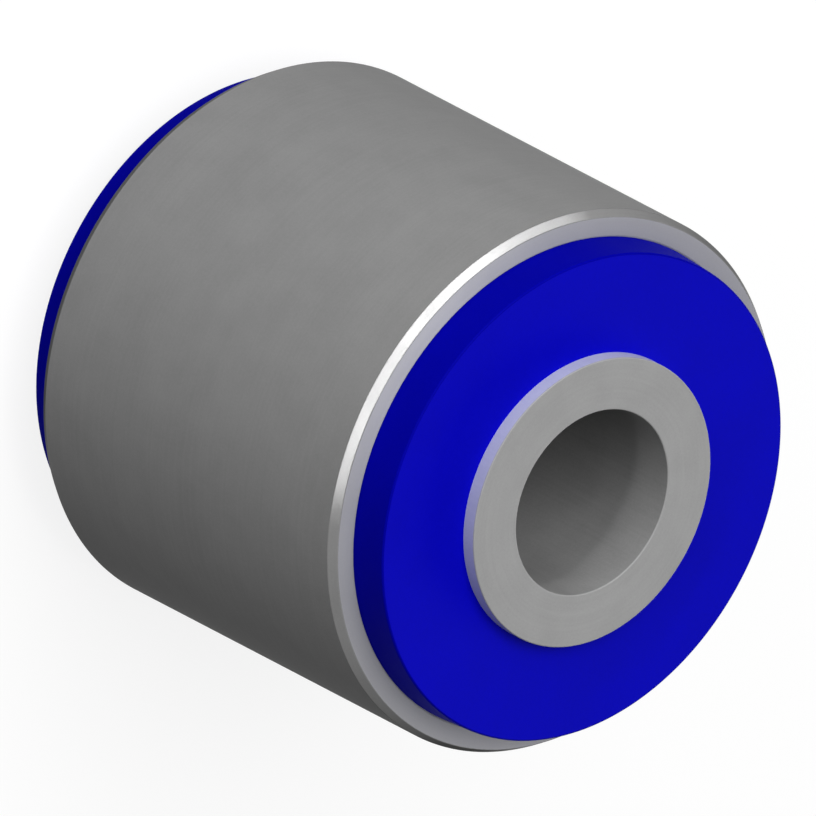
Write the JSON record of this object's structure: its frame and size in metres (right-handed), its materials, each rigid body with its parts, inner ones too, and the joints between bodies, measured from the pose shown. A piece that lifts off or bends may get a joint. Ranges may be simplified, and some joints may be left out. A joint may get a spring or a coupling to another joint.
{
  "type": "rubber metal bush",
  "caption": "Round rubber metal bush: a blue rubber ring bonded between a chamfered outer steel sleeve and a thick-walled inner sleeve with a plain bolt bore.",
  "frame": {"origin": "middle of the bolt bore, half way along the bush", "axes": "+Z along the bore axis; both ends are alike, and the bush stands on the lower end face of its inner sleeve"},
  "size_m": [0.06, 0.06, 0.06],
  "materials": {
    "sleeve_steel": "satin turned steel",
    "blue_rubber": "smooth moulded rubber",
    "tube_steel": "satin turned steel"
  },
  "bodies": {
    "root": {"outer_sleeve": "sleeve_steel", "rubber_body": "blue_rubber", "inner_sleeve": "tube_steel"}
  },
  "joints": []
}
